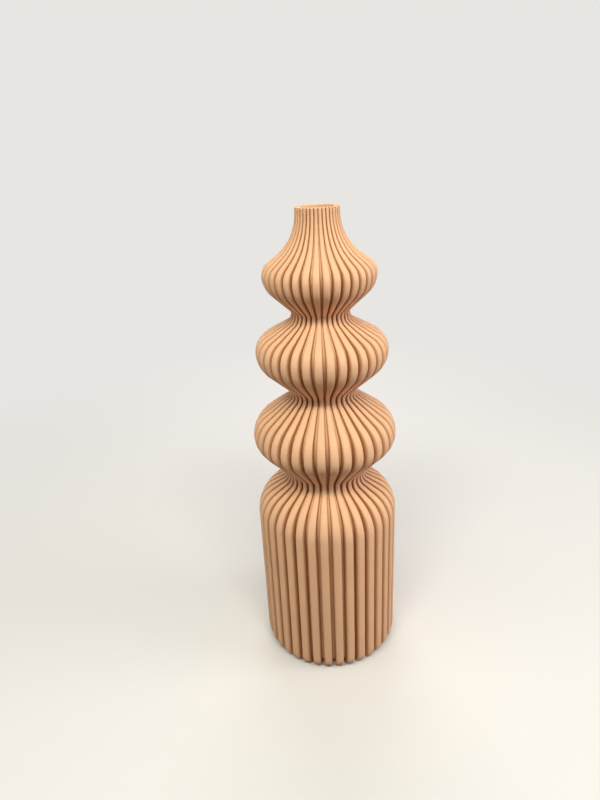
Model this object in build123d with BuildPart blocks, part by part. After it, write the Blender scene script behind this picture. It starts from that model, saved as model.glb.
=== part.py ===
"""Ribbed gourd vase: a fluted drum, three gourd bulbs stacked on it and a narrow mouth.

The body is four sections that part at the three waists, where a spigot on each section is
bonded into a socket in the section above it. A glass tube for water hangs by its lip from a
ledge inside the mouth and lifts out. Sizes are in millimetres, +Z is up, and the origin is
the centre of the flat underside.
"""

import math
import os

from build123d import *

# Glass water tube
tube_diameter = 13.0
tube_length = 100.0
tube_wall = 0.8
lip_width = 1.2
lip_thickness = 1.5
lip_rounding = 0.5

# Fits between the pieces
tube_clearance = 0.5
lip_clearance = 0.3
lip_drop = 3.0
spigot_height = 4.0
spigot_end_clearance = 0.3
bond_clearance = 0.1

# Shell, measured behind the bottom of the flutes
wall = 2.4
mouth_wall = 1.4
base_thickness = 3.0

# Flutes: grooves of equal angle, whose depth grows evenly with the radius
flute_count = 36
flute_share = 0.32
mouth_flute_depth = 1.2
drum_flute_depth = 4.2
flute_overrun = 2.0

# Radii over the ribs, at the bellies and the waists
drum_radius = 38.35
foot_radius = 8.0
lower_waist_radius = 20.9
lower_belly_radius = 37.8
middle_waist_radius = 17.3
middle_belly_radius = 33.6
upper_waist_radius = 14.6
upper_belly_radius = 27.9

# Lengths along the axis, from the underside to the rim
drum_height = 88.0
drum_shoulder_height = 22.6
lower_bulb_under_height = 24.4
lower_bulb_over_height = 23.1
middle_bulb_under_height = 22.8
middle_bulb_over_height = 19.4
upper_bulb_under_height = 18.8
neck_height = 28.7
rim_height = 2.2

# Each curve between a belly and a waist is an arc, a straight run and an arc. Its first number
# is the waist arc's part of the two radii, and its second the length of the straight run as a
# part of the straight line between the curve's ends.
drum_shoulder_shape = (0.22, 0.27)
lower_bulb_under_shape = (0.32, 0.62)
lower_bulb_over_shape = (0.16, 0.54)
middle_bulb_under_shape = (0.26, 0.50)
middle_bulb_over_shape = (0.34, 0.48)
upper_bulb_under_shape = (0.16, 0.53)
neck_shape = (0.78, 0.19)

# The mouth is as wide as the tube's lip, its recess and the fluted wall round it
tube_radius = tube_diameter / 2
lip_radius = tube_radius + lip_width
recess_radius = lip_radius + lip_clearance
mouth_radius = recess_radius + mouth_wall + mouth_flute_depth

# Stations up the outline, as radius and height: the wall stands upright at each of them
drum_edge = (drum_radius, drum_height)
lower_waist = (lower_waist_radius, drum_edge[1] + drum_shoulder_height)
lower_belly = (lower_belly_radius, lower_waist[1] + lower_bulb_under_height)
middle_waist = (middle_waist_radius, lower_belly[1] + lower_bulb_over_height)
middle_belly = (middle_belly_radius, middle_waist[1] + middle_bulb_under_height)
upper_waist = (upper_waist_radius, middle_belly[1] + middle_bulb_over_height)
upper_belly = (upper_belly_radius, upper_waist[1] + upper_bulb_under_height)
neck = (mouth_radius, upper_belly[1] + neck_height)
rim_top = neck[1] + rim_height

# The tube's lip sits on a ledge a little below the rim
lip_top = rim_top - lip_drop
ledge = lip_top - lip_thickness
bore = (tube_radius + tube_clearance, ledge)

# A groove is centred on -Y, the front
flute_angle = flute_share * 360 / flute_count
first_flute = -90 - flute_angle / 2
widest_radius = max(drum_radius, lower_belly_radius, middle_belly_radius, upper_belly_radius)
cutter_radius = widest_radius + flute_overrun


def groove_floor(station):
    """The station moved in to the bottom of the flutes."""
    radius, height = station
    growth = (drum_flute_depth - mouth_flute_depth) / (drum_radius - mouth_radius)
    return (radius - mouth_flute_depth - growth * (radius - mouth_radius), height)


def inner_face(station):
    """The station moved in to the face of the cavity, a wall behind the flutes."""
    radius, height = groove_floor(station)
    return (radius - wall, height)


def run_and_radii(first, second, straight):
    """Length of a curve's straight run, and the sum of the radii of its two arcs."""
    line = math.dist(first, second)
    run = straight * line
    return run, (line**2 - run**2) / (2 * abs(first[0] - second[0]))


def inner_shape(first, second, shape):
    """Shape of the curve that runs a wall's thickness inside the groove floor."""
    hollow, straight = shape
    run, both_radii = run_and_radii(groove_floor(first), groove_floor(second), straight)
    return (hollow + wall / both_radii, straight)


def swell(first, second, shape):
    """An arc, a straight run and an arc between a belly and a waist, upright at both ends."""
    hollow, straight = shape
    belly, waist = sorted((first, second), reverse=True)
    run, both_radii = run_and_radii(belly, waist, straight)
    step = belly[0] - waist[0]
    height = abs(waist[1] - belly[1])
    rise = math.copysign(1, waist[1] - belly[1])
    lean = math.atan2(height, both_radii - step) - math.atan2(run, both_radii)
    belly_radius = (1 - hollow) * both_radii
    waist_radius = hollow * both_radii
    bend = 1 - math.cos(lean)
    run_start = (belly[0] - belly_radius * bend, belly[1] + rise * belly_radius * math.sin(lean))
    run_end = (waist[0] + waist_radius * bend, waist[1] - rise * waist_radius * math.sin(lean))
    TangentArc(belly, run_start, tangent=(0, rise))
    Line(run_start, run_end)
    TangentArc(waist, run_end, tangent=(0, -rise))


def spigot_radius(waist):
    """Outside of the spigot at a waist: the inner half of the wall stands above the seam."""
    return inner_face(waist)[0] + wall / 2


def bulb_flute(low, belly, high, under_shape, over_shape, top):
    """One groove over a bulb: all that lies outside the groove floor, through the groove's angle."""
    floor_low, floor_belly, floor_high = map(groove_floor, (low, belly, high))
    cutter_low = low[1] - flute_overrun
    cutter_high = top + flute_overrun
    with BuildPart() as flute:
        with BuildSketch(Plane.XZ):
            with BuildLine():
                swell(floor_low, floor_belly, under_shape)
                swell(floor_high, floor_belly, over_shape)
                Polyline(
                    floor_high,
                    (floor_high[0], cutter_high),
                    (cutter_radius, cutter_high),
                    (cutter_radius, cutter_low),
                    (floor_low[0], cutter_low),
                    floor_low,
                )
            make_face()
        revolve(axis=Axis.Z, revolution_arc=flute_angle)
    return flute.part


def drum_flute():
    """One groove down the drum's shoulder, its side and the rounding of its foot."""
    floor_waist = groove_floor(lower_waist)
    floor_edge = groove_floor(drum_edge)
    foot_start = (floor_edge[0], foot_radius)
    foot_end = (floor_edge[0] - foot_radius, 0)
    cutter_high = lower_waist[1] + flute_overrun
    with BuildPart() as flute:
        with BuildSketch(Plane.XZ):
            with BuildLine():
                swell(floor_edge, floor_waist, drum_shoulder_shape)
                Line(floor_edge, foot_start)
                TangentArc(foot_start, foot_end, tangent=(0, -1))
                Polyline(
                    floor_waist,
                    (floor_waist[0], cutter_high),
                    (cutter_radius, cutter_high),
                    (cutter_radius, -flute_overrun),
                    (foot_end[0], -flute_overrun),
                    foot_end,
                )
            make_face()
        revolve(axis=Axis.Z, revolution_arc=flute_angle)
    return flute.part


os.makedirs("parts", exist_ok=True)

# Foot drum: the fluted cylinder with its rounded foot, its closed base and the lowest spigot
drum_groove = drum_flute()
drum_inside = inner_face(drum_edge)
drum_neck_inside = inner_face(lower_waist)
corner_radius = foot_radius - wall
corner_start = (drum_inside[0], base_thickness + corner_radius)
corner_end = (drum_inside[0] - corner_radius, base_thickness)

with BuildPart() as foot_drum:
    with BuildSketch(Plane.XZ):
        with BuildLine():
            Line((0, 0), (drum_radius - foot_radius, 0))
            TangentArc((drum_radius, foot_radius), (drum_radius - foot_radius, 0), tangent=(0, -1))
            Line((drum_radius, foot_radius), drum_edge)
            swell(drum_edge, lower_waist, drum_shoulder_shape)
            Polyline(lower_waist, (0, lower_waist[1]), (0, 0))
        make_face()
    revolve(axis=Axis.Z)
    with PolarLocations(0, flute_count, start_angle=first_flute):
        add(drum_groove, mode=Mode.SUBTRACT)
    with BuildSketch(Plane.XZ):
        with BuildLine():
            Line((0, base_thickness), corner_end)
            TangentArc(corner_start, corner_end, tangent=(0, -1))
            Line(corner_start, drum_inside)
            shoulder_inside = inner_shape(drum_edge, lower_waist, drum_shoulder_shape)
            swell(drum_inside, drum_neck_inside, shoulder_inside)
            Polyline(drum_neck_inside, (0, lower_waist[1]), (0, base_thickness))
        make_face()
    revolve(axis=Axis.Z, mode=Mode.SUBTRACT)
    with BuildSketch(Plane.XY.offset(lower_waist[1])):
        Circle(spigot_radius(lower_waist))
        Circle(drum_neck_inside[0], mode=Mode.SUBTRACT)
    extrude(amount=spigot_height)
foot_drum.part.label = "foot_drum"
export_step(foot_drum.part, "parts/foot_drum.step")

# Lower and middle bulbs: each has a socket at its lower waist and a spigot at its upper one
lower_stations = (lower_waist, lower_belly, middle_waist)
middle_stations = (middle_waist, middle_belly, upper_waist)
plain_bulbs = {
    "lower_bulb": (lower_stations, lower_bulb_under_shape, lower_bulb_over_shape),
    "middle_bulb": (middle_stations, middle_bulb_under_shape, middle_bulb_over_shape),
}
for bulb_name, (stations, under_shape, over_shape) in plain_bulbs.items():
    low, belly, high = stations
    bulb_groove = bulb_flute(low, belly, high, under_shape, over_shape, top=high[1])
    low_inside, belly_inside, high_inside = map(inner_face, stations)

    with BuildPart() as bulb:
        with BuildSketch(Plane.XZ):
            with BuildLine():
                swell(low, belly, under_shape)
                swell(high, belly, over_shape)
                Polyline(high, (0, high[1]), (0, low[1]), low)
            make_face()
        revolve(axis=Axis.Z)
        with PolarLocations(0, flute_count, start_angle=first_flute):
            add(bulb_groove, mode=Mode.SUBTRACT)
        with BuildSketch(Plane.XZ):
            with BuildLine():
                swell(low_inside, belly_inside, inner_shape(low, belly, under_shape))
                swell(high_inside, belly_inside, inner_shape(high, belly, over_shape))
                Polyline(high_inside, (0, high[1]), (0, low[1]), low_inside)
            make_face()
        revolve(axis=Axis.Z, mode=Mode.SUBTRACT)
        with BuildSketch(Plane.XY.offset(low[1])):
            Circle(spigot_radius(low) + bond_clearance)
        extrude(amount=spigot_height + spigot_end_clearance, mode=Mode.SUBTRACT)
        with BuildSketch(Plane.XY.offset(high[1])):
            Circle(spigot_radius(high))
            Circle(high_inside[0], mode=Mode.SUBTRACT)
        extrude(amount=spigot_height)
    bulb.part.label = bulb_name
    export_step(bulb.part, f"parts/{bulb_name}.step")

# Upper bulb: it runs on into the neck, and the mouth holds the ledge for the tube's lip
upper_groove = bulb_flute(
    upper_waist, upper_belly, neck, upper_bulb_under_shape, neck_shape, top=rim_top
)
upper_low_inside = inner_face(upper_waist)
upper_belly_inside = inner_face(upper_belly)

with BuildPart() as upper_bulb:
    with BuildSketch(Plane.XZ):
        with BuildLine():
            swell(upper_waist, upper_belly, upper_bulb_under_shape)
            swell(neck, upper_belly, neck_shape)
            Polyline(neck, (mouth_radius, rim_top), (0, rim_top), (0, upper_waist[1]), upper_waist)
        make_face()
    revolve(axis=Axis.Z)
    with PolarLocations(0, flute_count, start_angle=first_flute):
        add(upper_groove, mode=Mode.SUBTRACT)
    with BuildSketch(Plane.XZ):
        with BuildLine():
            under_inside = inner_shape(upper_waist, upper_belly, upper_bulb_under_shape)
            swell(upper_low_inside, upper_belly_inside, under_inside)
            swell(bore, upper_belly_inside, inner_shape(neck, upper_belly, neck_shape))
            Polyline(bore, (bore[0], rim_top), (0, rim_top), (0, upper_waist[1]), upper_low_inside)
        make_face()
    revolve(axis=Axis.Z, mode=Mode.SUBTRACT)
    with BuildSketch(Plane.XY.offset(upper_waist[1])):
        Circle(spigot_radius(upper_waist) + bond_clearance)
    extrude(amount=spigot_height + spigot_end_clearance, mode=Mode.SUBTRACT)
    with BuildSketch(Plane.XY.offset(ledge)):
        Circle(recess_radius)
    extrude(amount=rim_top - ledge, mode=Mode.SUBTRACT)
upper_bulb.part.label = "upper_bulb"
export_step(upper_bulb.part, "parts/upper_bulb.step")

# Water tube: round-bottomed glass with a rounded lip, which rests on the ledge
tube_end = lip_top - tube_length
round_start = tube_end + tube_radius
tube_bore = tube_radius - tube_wall

with BuildPart() as water_tube:
    with BuildSketch(Plane.XZ):
        with BuildLine():
            TangentArc((tube_radius, round_start), (0, tube_end), tangent=(0, -1))
            TangentArc((tube_bore, round_start), (0, tube_end + tube_wall), tangent=(0, -1))
            Line((0, tube_end), (0, tube_end + tube_wall))
            Polyline(
                (tube_radius, round_start),
                (tube_radius, ledge),
                (lip_radius, ledge),
                (lip_radius, lip_top),
                (tube_bore, lip_top),
                (tube_bore, round_start),
            )
        make_face()
    revolve(axis=Axis.Z)
    fillet(water_tube.edges().group_by(Axis.Z)[-1], radius=lip_rounding)
water_tube.part.label = "water_tube"
export_step(water_tube.part, "parts/water_tube.step")
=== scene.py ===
"""Looks of the ribbed gourd vase: fluted shells, a glass tube in the mouth, a floor and studio light."""
import math

import bpy
import numpy as np
from mathutils import Matrix, Vector


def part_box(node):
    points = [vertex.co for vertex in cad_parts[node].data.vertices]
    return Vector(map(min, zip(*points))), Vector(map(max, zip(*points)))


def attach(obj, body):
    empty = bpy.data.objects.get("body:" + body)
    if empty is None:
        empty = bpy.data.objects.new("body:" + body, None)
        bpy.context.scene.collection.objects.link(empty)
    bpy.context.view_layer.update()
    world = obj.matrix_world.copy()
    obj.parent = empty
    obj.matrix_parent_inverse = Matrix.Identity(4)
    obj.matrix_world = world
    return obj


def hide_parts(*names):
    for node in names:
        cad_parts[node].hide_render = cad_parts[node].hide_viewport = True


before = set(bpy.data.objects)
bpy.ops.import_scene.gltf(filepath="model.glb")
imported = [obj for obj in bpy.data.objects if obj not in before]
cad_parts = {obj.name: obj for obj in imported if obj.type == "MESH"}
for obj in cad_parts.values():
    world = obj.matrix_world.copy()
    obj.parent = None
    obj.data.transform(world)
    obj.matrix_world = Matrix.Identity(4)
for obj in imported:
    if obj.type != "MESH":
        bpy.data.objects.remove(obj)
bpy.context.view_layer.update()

# Heights of the seams, the rim and the tube, from the solids, in metres
lower_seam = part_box("lower_bulb")[0].z
middle_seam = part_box("middle_bulb")[0].z
upper_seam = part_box("upper_bulb")[0].z
rim_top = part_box("upper_bulb")[1].z
tube_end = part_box("water_tube")[0].z
lip_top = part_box("water_tube")[1].z

# Stations up the outline over the ribs, as radius and height: the wall stands upright at each
drum_edge = (0.03835, lower_seam - 0.0226)
lower_waist = (0.0209, lower_seam)
lower_belly = (0.0378, lower_seam + 0.0244)
middle_waist = (0.0173, middle_seam)
middle_belly = (0.0336, middle_seam + 0.0228)
upper_waist = (0.0146, upper_seam)
upper_belly = (0.0279, upper_seam + 0.0188)
neck = (0.0106, rim_top - 0.0022)
foot_radius = 0.008

# Curves between the stations: the waist arc's part of the two arcs' radii, and the part of the
# line between the curve's ends that its straight run is long
drum_shoulder_shape = (0.22, 0.27)
lower_under_shape = (0.32, 0.62)
lower_over_shape = (0.16, 0.54)
middle_under_shape = (0.26, 0.50)
middle_over_shape = (0.34, 0.48)
upper_under_shape = (0.16, 0.53)
neck_shape = (0.78, 0.19)

# Shell behind the flutes, the laps at the seams and the mouth's recess
wall = 0.0024
base_thickness = 0.003
spigot_height = 0.004
socket_depth = 0.0043
bond_clearance = 0.0001
bore_radius = 0.0070
recess_radius = 0.0080
rim_rounding = 0.0004

# Flutes: the share of a pitch that a groove's flat floor takes and the groove's depth, at the drum's
# radius and at the mouth's, and the power that squares the rib's rounded section
flute_count = 36
drum_floor_share, mouth_floor_share = 0.28, 0.26
drum_flute_depth, mouth_flute_depth = 0.0042, 0.0012
rib_power = 5

# Painted shade in the grooves, a darker colour where real shade falls: the power that keeps it on the
# steep wall of a rib, the part of it in the middle of a floor, its level away from the waists, and the
# height from a waist up to which it is stronger
wall_shade_power = 3
floor_shade = 0.1
open_shade = 0.62
waist_reach = 0.014

# Glass tube
tube_radius = 0.0065
tube_wall = 0.0008
lip_radius = 0.0077
lip_thickness = 0.0015
lip_rounding = 0.0005

# Steps of the grids: columns over half a groove floor and half a rib, rows over an arc outside and
# inside, a straight run, the drum's side, a small rounding and the tube's round end, and the tube's
# own columns
floor_steps = 3
rib_steps = 9
arc_steps = 12
inner_arc_steps = 7
run_steps = 4
side_steps = 6
corner_steps = 6
tube_end_steps = 20
tube_columns = 96

# Rows nearer than this are one row, and edges that bend by more than this stay sharp
row_gap = 1e-7
sharp_angle = math.radians(60)


def growth(radius):
    """How far a radius over the ribs lies from the mouth's, 0, to the drum's, 1."""
    return (radius - neck[0]) / (drum_edge[0] - neck[0])


def groove_floor(station):
    """The station moved in by the flute's depth, which grows evenly from the mouth to the drum."""
    radius, height = station
    depth = mouth_flute_depth + growth(radius) * (drum_flute_depth - mouth_flute_depth)
    return (radius - depth, height)


def inner_face(station):
    """The station moved in to the cavity, a wall's thickness behind the flutes."""
    radius, height = groove_floor(station)
    return (radius - wall, height)


def run_and_radii(first, second, straight_part):
    """The length of a curve's straight run, and the sum of the radii of the two arcs beside it.

    With a line of length l between the ends, a run r and a step s in radius, the sum is (l² - r²) / 2s.
    """
    line = math.dist(first, second)
    run = straight_part * line
    return run, (line**2 - run**2) / (2 * abs(first[0] - second[0]))


def inner_shape(first, second, shape):
    """Shape of the curve a wall inside the groove floor: its waist arc is wider by the wall."""
    hollow, straight_part = shape
    both_radii = run_and_radii(groove_floor(first), groove_floor(second), straight_part)[1]
    return (hollow + wall / both_radii, straight_part)


def line_rows(first, second, steps=1):
    """Rows from first to second at an even spacing."""
    return np.linspace(first, second, steps + 1)


def quarter(centre, radius, start, steps):
    """Rows of a quarter turn about a centre, anticlockwise from the angle start, in degrees."""
    angle = np.radians(np.linspace(start, start + 90, steps + 1))
    return np.stack([centre[0] + radius * np.cos(angle), centre[1] + radius * np.sin(angle)], 1)


def swell(first, second, shape, steps):
    """Rows of radius and height from first to second, upright at both: an arc, a run and an arc.

    Both arcs turn from upright by the lean of the run, and the shape shares out the sum of their radii.
    An arc of radius q that has turned by t lies q (1 - cos t) further in or out, and q sin t up or down.
    """
    hollow, straight_part = shape
    belly, waist = sorted((first, second), reverse=True)
    run, both_radii = run_and_radii(belly, waist, straight_part)
    rise = math.copysign(1, waist[1] - belly[1])
    height = abs(waist[1] - belly[1])
    lean = math.atan2(height, both_radii - belly[0] + waist[0]) - math.atan2(run, both_radii)
    turn = np.linspace(0, lean, steps + 1)
    inwards = 1 - np.cos(turn)
    along = rise * np.sin(turn)
    out = (1 - hollow) * both_radii
    into = hollow * both_radii
    belly_arc = np.stack([belly[0] - out * inwards, belly[1] + out * along], 1)
    waist_arc = np.stack([waist[0] + into * inwards, waist[1] - into * along], 1)
    run_rows = line_rows(belly_arc[-1], waist_arc[-1], run_steps)[1:-1]
    rows = np.concatenate([belly_arc, run_rows, waist_arc[::-1]])
    return rows if belly == tuple(first) else rows[::-1]


def flute_columns(share):
    """Angles of every row's columns, their depth from 0 on a crest to 1 on a floor, and their painted
    shade.

    A pitch is a flat groove floor and a rib. With t from 0 at the rib's middle to 1 at its edge, the rib
    stands (1 - t^q)^(1/q) of the groove's depth above the floor, q being the rib's power. Its columns lie
    at even turns a, where t = sin(a)^(2/q). The painted shade, a darker colour where real shade falls, is
    1 in the corner between floor and rib. Up the rib it falls as 1 - (1 - d)^p at a depth d, p being the
    wall shade's power, so that it covers the steep wall and leaves the crest. On the floor it falls, with
    the square of the way from the middle, to the part that the middle keeps.
    """
    floor_share = mouth_floor_share + share[:, None] * (drum_floor_share - mouth_floor_share)
    turn = np.linspace(math.pi / 2, 0, rib_steps + 1)
    over_floor = np.concatenate([np.linspace(0, 1, floor_steps, endpoint=False), np.ones(rib_steps + 1)])
    from_crest = np.concatenate([np.ones(floor_steps), np.sin(turn) ** (2 / rib_power)])
    depth = np.concatenate([np.ones(floor_steps), 1 - np.cos(turn) ** (2 / rib_power)])
    rib_shade = 1 - (1 - depth) ** wall_shade_power
    shade = rib_shade * (floor_shade + (1 - floor_shade) * over_floor**2)

    half = (over_floor * floor_share + (1 - from_crest) * (1 - floor_share)) / 2
    across = np.concatenate([half, 1 - half[:, -2:0:-1]], 1)
    pitches = across[:, None, :] + np.arange(flute_count)[None, :, None]
    angle = -math.pi / 2 + 2 * math.pi / flute_count * pitches.reshape(len(share), -1)
    whole_pitch = [np.concatenate([part, part[-2:0:-1]]) for part in (depth, shade)]
    depth, shade = (np.tile(part, flute_count) for part in whole_pitch)
    return angle, depth, shade


def waist_shade(height):
    """The part of the painted shade at each height: all of it at a waist, and evenly less up to its reach.
    """
    seams = np.array([lower_seam, middle_seam, upper_seam])
    from_waist = np.abs(height[:, None] - seams).min(1)
    return 1 - (1 - open_shade) * np.clip(from_waist / waist_reach, 0, 1)


def fluted_points(crest, floor):
    """Points and painted shades of a fluted wall: at depth d, a column lies at crest + d (floor - crest),
    turned.

    Where a row's crest and floor are one, the wall is round, and it has no painted shade.
    """
    angle, depth, shade = flute_columns(np.clip(growth(crest[:, 0]), 0, 1))
    rows = crest[:, None, :] + depth[None, :, None] * (floor - crest)[:, None, :]
    radius, height = rows[..., 0], rows[..., 1]
    points = np.stack([radius * np.cos(angle), radius * np.sin(angle), height], -1)
    fluted = np.abs(floor - crest).sum(1) > 0
    return points, (fluted * waist_shade(crest[:, 1]))[:, None] * shade[None, :]


def ring_faces(rows, columns, closed):
    """Quads of a grid whose columns run round the axis; if it is closed, its last row meets the first."""
    row = np.arange(rows if closed else rows - 1)[:, None]
    column = np.arange(columns)[None, :]
    after = (row + 1) % rows
    beside = (column + 1) % columns
    this_row, next_row = row * columns, after * columns
    corners = (this_row + column, this_row + beside, next_row + beside, next_row + column)
    return np.stack(corners, -1).reshape(-1, 4)


def cap_faces(row_start, columns, pole, upward):
    """Triangles from a ring of columns to a pole point on the axis."""
    column = row_start + np.arange(columns)
    beside = row_start + (np.arange(columns) + 1) % columns
    ring = (column, beside) if upward else (beside, column)
    return np.stack([*ring, np.full(columns, pole)], -1)


def add_mesh(name, points, faces, material, body, node):
    """A smooth mesh piece that stands for a CAD node and rides on its body."""
    mesh = bpy.data.meshes.new(name)
    mesh.from_pydata(points.tolist(), [], faces)
    mesh.shade_smooth()
    mesh.set_sharp_from_angle(angle=sharp_angle)
    mesh.materials.append(material)
    piece = bpy.data.objects.new(name, mesh)
    bpy.context.scene.collection.objects.link(piece)
    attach(piece, body)
    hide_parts(node)
    return mesh


def closed_wall(points, low, high):
    """Points and faces of rows up the outside and back down the inside, with a pole point at each end."""
    rows, columns = points.shape[:2]
    count = rows * columns
    faces = ring_faces(rows, columns, closed=False).tolist()
    faces += cap_faces(0, columns, count, upward=False).tolist()
    faces += cap_faces(count - columns, columns, count + 1, upward=True).tolist()
    return np.concatenate([points.reshape(-1, 3), [(0, 0, low), (0, 0, high)]]), faces


def add_shell(name, node, points, faces, shade, material):
    """A body section with each point's painted shade as an attribute; points past the shades have none."""
    mesh = add_mesh(name, points, faces, material, "vase", node)
    every_shade = np.zeros(len(points))
    every_shade[: shade.size] = shade.ravel()
    # The painted shade is kept on the mesh as the attribute named shade
    mesh.attributes.new("shade", "FLOAT", "POINT").data.foreach_set("value", every_shade)


def plain(rows):
    """Crest and floor rows of a round wall without flutes."""
    return rows, rows


def joined(*walls):
    """Walls set end to end, each given as its crest rows and its groove floor rows, with no row twice."""
    crest = np.concatenate([crest_rows for crest_rows, floor_rows in walls])
    floor = np.concatenate([floor_rows for crest_rows, floor_rows in walls])
    moved = np.abs(np.diff(crest, axis=0)).sum(1) + np.abs(np.diff(floor, axis=0)).sum(1)
    keep = np.concatenate([[True], moved > row_gap])
    return crest[keep], floor[keep]


def fluted_swell(first, second, shape):
    """Crest and groove floor rows of one curve between a belly and a waist."""
    return (
        swell(first, second, shape, arc_steps),
        swell(groove_floor(first), groove_floor(second), shape, arc_steps),
    )


def cavity_swell(first, second, shape):
    """Rows of the cavity behind one such curve."""
    inside = inner_shape(first, second, shape)
    return swell(inner_face(first), inner_face(second), inside, inner_arc_steps)


def spigot_radius(waist):
    """Outside of the spigot that stands above a seam, half a wall out from the cavity."""
    return inner_face(waist)[0] + wall / 2


def spigot_rows(waist):
    """Round rows of the spigot above a seam, from the seam's face over its top to the cavity."""
    inside, seam = inner_face(waist)
    outside = spigot_radius(waist)
    top = seam + spigot_height
    return np.array([(outside, seam), (outside, top), (inside, top), (inside, seam)])


def socket_rows(waist, cavity):
    """Rows of a cavity that comes down to a seam, where the socket for the spigot below opens it out."""
    outside = spigot_radius(waist) + bond_clearance
    step = waist[1] + socket_depth
    above = cavity[cavity[:, 1] > step]
    cut = np.interp(step, cavity[::-1, 1], cavity[::-1, 0])
    socket = max(outside, cut)
    return np.concatenate([above, [(cut, step), (socket, step), (socket, waist[1])]])


def bulb_piece(name, node, stations, under_shape, over_shape, material):
    """A bulb between two seams: fluted outside, round inside, a spigot above and a socket below."""
    low, belly, high = stations
    outside = joined(fluted_swell(low, belly, under_shape), fluted_swell(belly, high, over_shape))
    cavity_over = cavity_swell(high, belly, over_shape)
    cavity = np.concatenate([cavity_over, cavity_swell(belly, low, under_shape)[1:]])
    crest, floor = joined(outside, plain(spigot_rows(high)), plain(socket_rows(low, cavity)))
    points, shade = fluted_points(crest, floor)
    faces = ring_faces(*shade.shape, closed=True)
    add_shell(name, node, points.reshape(-1, 3), faces.tolist(), shade, material)


def upper_piece(material):
    """The upper bulb, which runs on into the neck and a softly rounded rim round the tube's recess."""
    rounded_rim = tuple(
        quarter((radius - rim_rounding, rim_top - rim_rounding), rim_rounding, 0, corner_steps)
        for radius in (neck[0], groove_floor(neck)[0])
    )
    ledge = lip_top - lip_thickness
    outside = joined(
        fluted_swell(upper_waist, upper_belly, upper_under_shape),
        fluted_swell(upper_belly, neck, neck_shape),
        rounded_rim,
    )
    edge_centre = (recess_radius + rim_rounding, rim_top - rim_rounding)
    edge = quarter(edge_centre, rim_rounding, 90, corner_steps)
    recess = np.concatenate([edge, [(recess_radius, ledge), (bore_radius, ledge)]])
    neck_inside = inner_shape(neck, upper_belly, neck_shape)
    cavity = np.concatenate([
        swell((bore_radius, ledge), inner_face(upper_belly), neck_inside, inner_arc_steps),
        cavity_swell(upper_belly, upper_waist, upper_under_shape)[1:],
    ])
    crest, floor = joined(outside, plain(recess), plain(socket_rows(upper_waist, cavity)))
    points, shade = fluted_points(crest, floor)
    faces = ring_faces(*shade.shape, closed=True)
    add_shell("upper_shell", "upper_bulb", points.reshape(-1, 3), faces.tolist(), shade, material)


def drum_piece(material):
    """The drum: flat underside, rounded foot, upright side, shoulder, spigot, and its cavity."""
    radii = (drum_edge[0], groove_floor(drum_edge)[0])
    foot = tuple(
        quarter((radius - foot_radius, foot_radius), foot_radius, -90, arc_steps) for radius in radii
    )
    side = tuple(
        line_rows((radius, foot_radius), (radius, drum_edge[1]), side_steps) for radius in radii
    )
    corner = foot_radius - wall
    corner_centre = (inner_face(drum_edge)[0] - corner, base_thickness + corner)
    cavity = np.concatenate([
        cavity_swell(lower_waist, drum_edge, drum_shoulder_shape),
        quarter(corner_centre, corner, -90, inner_arc_steps)[::-1],
    ])
    crest, floor = joined(
        foot,
        side,
        fluted_swell(drum_edge, lower_waist, drum_shoulder_shape),
        plain(spigot_rows(lower_waist)),
        plain(cavity),
    )
    points, shade = fluted_points(crest, floor)
    add_shell("drum_shell", "foot_drum", *closed_wall(points, 0, base_thickness), shade, material)


def tube_piece(material):
    """The round-bottomed tube as a lathed wall: up its outside, over the lip and down its bore."""
    bore = tube_radius - tube_wall
    round_start = tube_end + tube_radius
    bead_height = lip_top - lip_rounding
    ledge = lip_top - lip_thickness
    profile = np.concatenate([
        quarter((0, round_start), tube_radius, -90, tube_end_steps)[1:],
        line_rows((tube_radius, round_start), (tube_radius, ledge), run_steps)[1:],
        [(lip_radius, ledge)],
        quarter((lip_radius - lip_rounding, bead_height), lip_rounding, 0, corner_steps),
        quarter((bore + lip_rounding, bead_height), lip_rounding, 90, corner_steps),
        line_rows((bore, bead_height), (bore, round_start), run_steps)[1:],
        quarter((0, round_start), bore, -90, tube_end_steps)[-2:0:-1],
    ])
    angle = np.arange(tube_columns) * 2 * math.pi / tube_columns
    radius, height = profile[:, 0, None], profile[:, 1, None]
    points = np.stack([radius * np.cos(angle), radius * np.sin(angle), height + 0 * angle], -1)
    closed_points, faces = closed_wall(points, tube_end, tube_end + tube_wall)
    add_mesh("glass_tube", closed_points, faces, material, "water_tube", "water_tube")


def new_material(name):
    """A node material, its tree and its Principled shader."""
    material = bpy.data.materials.new(name)
    material.use_nodes = True
    return material, material.node_tree, material.node_tree.nodes["Principled BSDF"]


def add_node(tree, kind, **settings):
    """A node of a kind with its plain properties set."""
    node = tree.nodes.new(kind)
    for key, value in settings.items():
        setattr(node, key, value)
    return node


def math_node(tree, operation, first, second=None):
    """A Math node on one or two sockets or numbers, and its result."""
    node = add_node(tree, "ShaderNodeMath", operation=operation)
    for socket, value in zip(node.inputs, (first, second)):
        if isinstance(value, bpy.types.NodeSocket):
            tree.links.new(value, socket)
        elif value is not None:
            socket.default_value = value
    return node.outputs[0]


def noise_on(tree, place, scale, detail):
    """The level of a cloud noise of a scale, in cells to the metre, on the piece's own coordinates."""
    noise = add_node(tree, "ShaderNodeTexNoise")
    noise.inputs["Scale"].default_value = scale
    noise.inputs["Detail"].default_value = detail
    tree.links.new(place, noise.inputs["Vector"])
    return noise.outputs["Fac"]


def map_range(tree, value, low, high, onto_low, onto_high, interpolation="LINEAR"):
    """The value's place between low and high, carried over to the second range."""
    node = add_node(tree, "ShaderNodeMapRange", interpolation_type=interpolation)
    limits = {"From Min": low, "From Max": high, "To Min": onto_low, "To Max": onto_high}
    for name, number in limits.items():
        node.inputs[name].default_value = number
    tree.links.new(value, node.inputs["Value"])
    return node.outputs["Result"]


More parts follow.
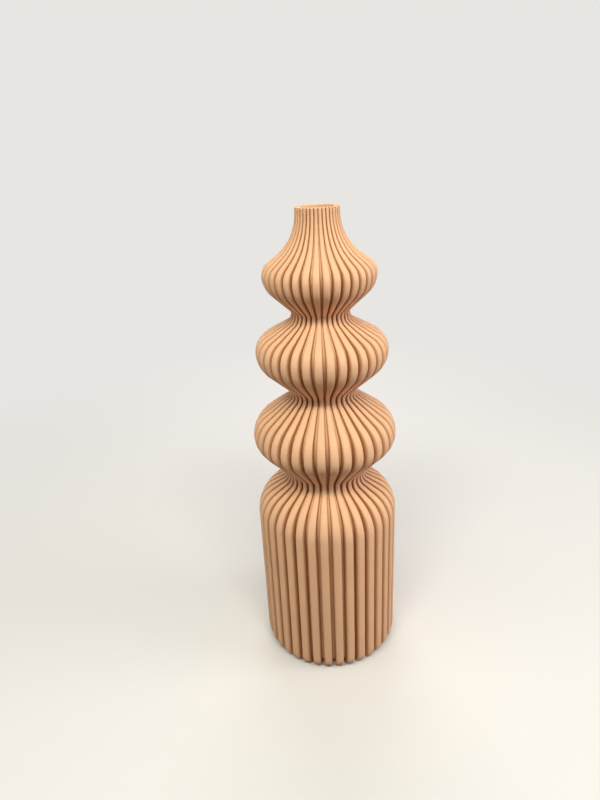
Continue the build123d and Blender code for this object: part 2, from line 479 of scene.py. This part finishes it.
def seen_rays(tree):
    """A socket that is 1 for what shows, straight or through gloss and glass, and 0 for other light."""
    path = add_node(tree, "ShaderNodeLightPath")
    shown = math_node(tree, "MAXIMUM", path.outputs["Is Camera Ray"], path.outputs["Is Glossy Ray"])
    return math_node(tree, "MAXIMUM", shown, path.outputs["Is Transmission Ray"])


# Sky: the colour and level that show, and those that light the object
sky_colour = (0.95, 0.93, 0.90, 1)
sky_seen = 0.85
fill_colour = (0.92, 0.93, 0.95, 1)
fill_level = 0.16

# Plastic: its darker and lighter tone, their places on the scale of tones, what the painted shade in the
# corner of a groove leaves of them, and the height of a printed layer
plastic_dark = (0.745, 0.455, 0.290, 1)
plastic_light = (0.845, 0.515, 0.330, 1)
dark_place, light_place = 0.25, 0.75
painted_shade_tone = (0.48, 0.25, 0.0, 1)
layer_height = 0.0002

# Plastic's clouds and grain: the cells to the metre and the octaves of each noise, and the parts of the
# tone that clouds, grain and layers make up
cloud_scale, cloud_detail = 70, 3
grain_scale, grain_detail = 2600, 2
cloud_part, grain_part, layer_part = 0.55, 0.30, 0.15

# Plastic's finish: the roughness over the range of its grain, its gloss, and the bump of its layers, by
# strength, height and the grain's part beside them
plastic_roughness = (0.58, 0.74)
plastic_gloss = 0.12
bump_strength = 0.25
bump_height = 0.00002
grain_relief = 0.8

# Glass: its colour and index of refraction, the cells to the metre and the octaves of its water marks,
# the levels of the noise between which a mark comes up, and the roughness without and with one
glass_colour = (0.93, 0.97, 0.95, 1)
glass_index = 1.47
mark_scale, mark_detail = 240, 4
mark_levels = (0.45, 0.75)
glass_roughness = (0.01, 0.08)

# Floor: the colour that shows, the colour that throws light up at the vase, the roughness and gloss, the
# distances between which it fades into the sky, and half its width
floor_colour = (0.76, 0.75, 0.77, 1)
floor_bounce = (0.23, 0.20, 0.19, 1)
floor_roughness = 0.9
floor_gloss = 0.1
fade_start, fade_end = 0.10, 0.60
floor_half = 3.0


def printed_plastic():
    """Matte warm beige plastic in fine level layers, with faint cloudiness and grain, and painted shade in
    its grooves.
    """
    material, tree, shader = new_material("printed_plastic")
    place = add_node(tree, "ShaderNodeTexCoord").outputs["Object"]
    height = add_node(tree, "ShaderNodeSeparateXYZ")
    tree.links.new(place, height.inputs[0])
    cloud = noise_on(tree, place, cloud_scale, cloud_detail)
    grain = noise_on(tree, place, grain_scale, grain_detail)
    layer = math_node(tree, "DIVIDE", height.outputs["Z"], layer_height)
    layer_tone = add_node(tree, "ShaderNodeTexWhiteNoise", noise_dimensions="1D")
    tree.links.new(math_node(tree, "FLOOR", layer), layer_tone.inputs["W"])

    cloud_tone = math_node(tree, "MULTIPLY", cloud, cloud_part)
    grain_tone = math_node(tree, "MULTIPLY", grain, grain_part)
    line_tone = math_node(tree, "MULTIPLY", layer_tone.outputs["Value"], layer_part)
    tone = math_node(tree, "ADD", math_node(tree, "ADD", cloud_tone, grain_tone), line_tone)
    colours = add_node(tree, "ShaderNodeValToRGB")
    darker, lighter = colours.color_ramp.elements
    darker.position, darker.color = dark_place, plastic_dark
    lighter.position, lighter.color = light_place, plastic_light
    tree.links.new(tone, colours.inputs["Fac"])
    # Painted shade: the shade attribute darkens the colour towards this tone in groove corners and near
    # the waists
    shaded = add_node(tree, "ShaderNodeMix", data_type="RGBA", blend_type="MULTIPLY")
    shaded.inputs["B"].default_value = painted_shade_tone
    shade = add_node(tree, "ShaderNodeAttribute", attribute_name="shade")
    tree.links.new(shade.outputs["Fac"], shaded.inputs["Factor"])
    tree.links.new(colours.outputs["Color"], shaded.inputs["A"])
    tree.links.new(shaded.outputs["Result"], shader.inputs["Base Color"])
    tree.links.new(map_range(tree, grain, 0, 1, *plastic_roughness), shader.inputs["Roughness"])

    ridge = math_node(tree, "SINE", math_node(tree, "MULTIPLY", layer, 2 * math.pi))
    bump = add_node(tree, "ShaderNodeBump")
    bump.inputs["Strength"].default_value = bump_strength
    bump.inputs["Distance"].default_value = bump_height
    relief = math_node(tree, "ADD", ridge, math_node(tree, "MULTIPLY", grain, grain_relief))
    tree.links.new(relief, bump.inputs["Height"])
    tree.links.new(bump.outputs["Normal"], shader.inputs["Normal"])
    shader.inputs["Specular IOR Level"].default_value = plastic_gloss
    return material


def clear_glass():
    """Clear tube glass with a faint green cast and a trace of water marks in its gloss."""
    material, tree, shader = new_material("clear_glass")
    place = add_node(tree, "ShaderNodeTexCoord").outputs["Object"]
    marks = noise_on(tree, place, mark_scale, mark_detail)
    roughness = map_range(tree, marks, *mark_levels, *glass_roughness)
    tree.links.new(roughness, shader.inputs["Roughness"])
    shader.inputs["Base Color"].default_value = glass_colour
    shader.inputs["Transmission Weight"].default_value = 1.0
    shader.inputs["IOR"].default_value = glass_index
    return material


def floor_material():
    """Plain pale floor that fades into the sky's colour far from the vase and throws little light up."""
    material, tree, shader = new_material("pale_floor")
    shader.inputs["Base Color"].default_value = floor_colour
    shader.inputs["Roughness"].default_value = floor_roughness
    shader.inputs["Specular IOR Level"].default_value = floor_gloss
    dim = add_node(tree, "ShaderNodeBsdfDiffuse")
    dim.inputs["Color"].default_value = floor_bounce
    far = add_node(tree, "ShaderNodeEmission")
    far.inputs["Color"].default_value = sky_colour
    far.inputs["Strength"].default_value = sky_seen

    distance = add_node(tree, "ShaderNodeVectorMath", operation="LENGTH")
    tree.links.new(add_node(tree, "ShaderNodeTexCoord").outputs["Object"], distance.inputs[0])
    faded = add_node(tree, "ShaderNodeMixShader")
    fade = map_range(tree, distance.outputs["Value"], fade_start, fade_end, 0, 1, "SMOOTHSTEP")
    tree.links.new(fade, faded.inputs["Fac"])
    tree.links.new(shader.outputs["BSDF"], faded.inputs[1])
    tree.links.new(far.outputs["Emission"], faded.inputs[2])
    seen = add_node(tree, "ShaderNodeMixShader")
    tree.links.new(seen_rays(tree), seen.inputs["Fac"])
    tree.links.new(dim.outputs["BSDF"], seen.inputs[1])
    tree.links.new(faded.outputs["Shader"], seen.inputs[2])
    tree.links.new(seen.outputs["Shader"], tree.nodes["Material Output"].inputs["Surface"])
    return material


def add_floor():
    """A level square floor under the vase, which reaches far past its fade into the sky."""
    mesh = bpy.data.meshes.new("floor")
    corners = [(floor_half * x, floor_half * y, 0) for x, y in ((-1, -1), (1, -1), (1, 1), (-1, 1))]
    mesh.from_pydata(corners, [], [(0, 1, 2, 3)])
    mesh.materials.append(floor_material())
    piece = bpy.data.objects.new("floor", mesh)
    bpy.context.scene.collection.objects.link(piece)


# Camera, from the photograph's perspective: the focal length in pixels of the 800 pixel high frame, the
# width in millimetres of the film, which lies along the longer side, the nearest point that shows, and
# the camera's place and turns
focal_pixels = 589
frame_height_pixels = 800
film_width = 36
nearest_seen = 0.01
camera_distance = 0.2838
camera_height = 0.2772
camera_pitch = math.radians(23.64)
camera_yaw = math.radians(-2.49)
camera_roll = math.radians(-2.93)
camera_round = math.radians(-1.78)


def add_camera():
    """The camera in front, turned by its yaw, pitch and roll, then moved round to suit the grooves."""
    data = bpy.data.cameras.new("camera")
    data.sensor_fit = "AUTO"
    data.sensor_width = film_width
    data.lens = focal_pixels / frame_height_pixels * data.sensor_width
    data.clip_start = nearest_seen
    forward = Vector((
        math.sin(camera_yaw) * math.cos(camera_pitch),
        math.cos(camera_yaw) * math.cos(camera_pitch),
        -math.sin(camera_pitch),
    ))
    level_right = Vector((math.cos(camera_yaw), -math.sin(camera_yaw), 0))
    level_up = level_right.cross(forward)
    right = math.cos(camera_roll) * level_right + math.sin(camera_roll) * level_up
    up = -math.sin(camera_roll) * level_right + math.cos(camera_roll) * level_up
    turned = Matrix((right, up, -forward)).transposed().to_4x4()
    turned.translation = (0, -camera_distance, camera_height)
    camera = bpy.data.objects.new("camera", data)
    camera.matrix_world = Matrix.Rotation(camera_round, 4, "Z") @ turned
    bpy.context.scene.collection.objects.link(camera)
    bpy.context.scene.camera = camera


# Lamps in a row bent round the front of the vase, and one behind it: each one's angle to the right of
# the front and above the level, its width, power and colour, and then the distance of them all from the
# middle of the vase and the height of their panels
warm_light = (1.0, 0.98, 0.81)
cool_light = (1.0, 0.96, 0.90)
lamps = (
    ("far_left_lamp", -80, 15, 0.35, 1.0, warm_light),
    ("left_lamp", -40, 54, 0.35, 0.6, warm_light),
    ("front_lamp", -3, 54, 0.6, 4.5, warm_light),
    ("right_lamp", 42, 54, 0.35, 0.6, cool_light),
    ("far_right_lamp", 80, 15, 0.35, 2.6, cool_light),
    ("back_lamp", 180, 20, 0.6, 3.0, cool_light),
)
lamp_distance = 0.75
lamp_height = 0.12


def add_lamp(name, azimuth, elevation, width, power, colour):
    """A broad lamp that faces the middle of the vase from its angles to the front and above the level."""
    middle = Vector((0, 0, rim_top / 2))
    side, lift = math.radians(azimuth), math.radians(elevation)
    level = math.cos(lift)
    towards = Vector((math.sin(side) * level, -math.cos(side) * level, math.sin(lift)))
    data = bpy.data.lights.new(name, "AREA")
    data.shape = "RECTANGLE"
    data.size, data.size_y = width, lamp_height
    data.energy = power
    data.color = colour
    lamp = bpy.data.objects.new(name, data)
    lamp.location = middle + towards * lamp_distance
    lamp.rotation_mode = "QUATERNION"
    lamp.rotation_quaternion = (-towards).to_track_quat("-Z", "Y")
    bpy.context.scene.collection.objects.link(lamp)


def light_world():
    """A plain sky: one colour for what the camera, gloss and glass see, and a dim fill for the object."""
    world = bpy.data.worlds.new("studio")
    world.use_nodes = True
    tree = world.node_tree
    shown = tree.nodes["Background"]
    shown.inputs["Color"].default_value = sky_colour
    shown.inputs["Strength"].default_value = sky_seen
    fill = add_node(tree, "ShaderNodeBackground")
    fill.inputs["Color"].default_value = fill_colour
    fill.inputs["Strength"].default_value = fill_level
    either = add_node(tree, "ShaderNodeMixShader")
    tree.links.new(seen_rays(tree), either.inputs["Fac"])
    tree.links.new(fill.outputs["Background"], either.inputs[1])
    tree.links.new(shown.outputs["Background"], either.inputs[2])
    tree.links.new(either.outputs["Shader"], tree.nodes["World Output"].inputs["Surface"])
    bpy.context.scene.world = world


plastic = printed_plastic()
drum_piece(plastic)
lower_stations = (lower_waist, lower_belly, middle_waist)
bulb_piece("lower_shell", "lower_bulb", lower_stations, lower_under_shape, lower_over_shape, plastic)
middle_stations = (middle_waist, middle_belly, upper_waist)
bulb_piece(
    "middle_shell", "middle_bulb", middle_stations, middle_under_shape, middle_over_shape, plastic
)
upper_piece(plastic)
tube_piece(clear_glass())

add_floor()
add_camera()
for lamp in lamps:
    add_lamp(*lamp)
light_world()
bpy.context.scene.view_settings.view_transform = "Standard"
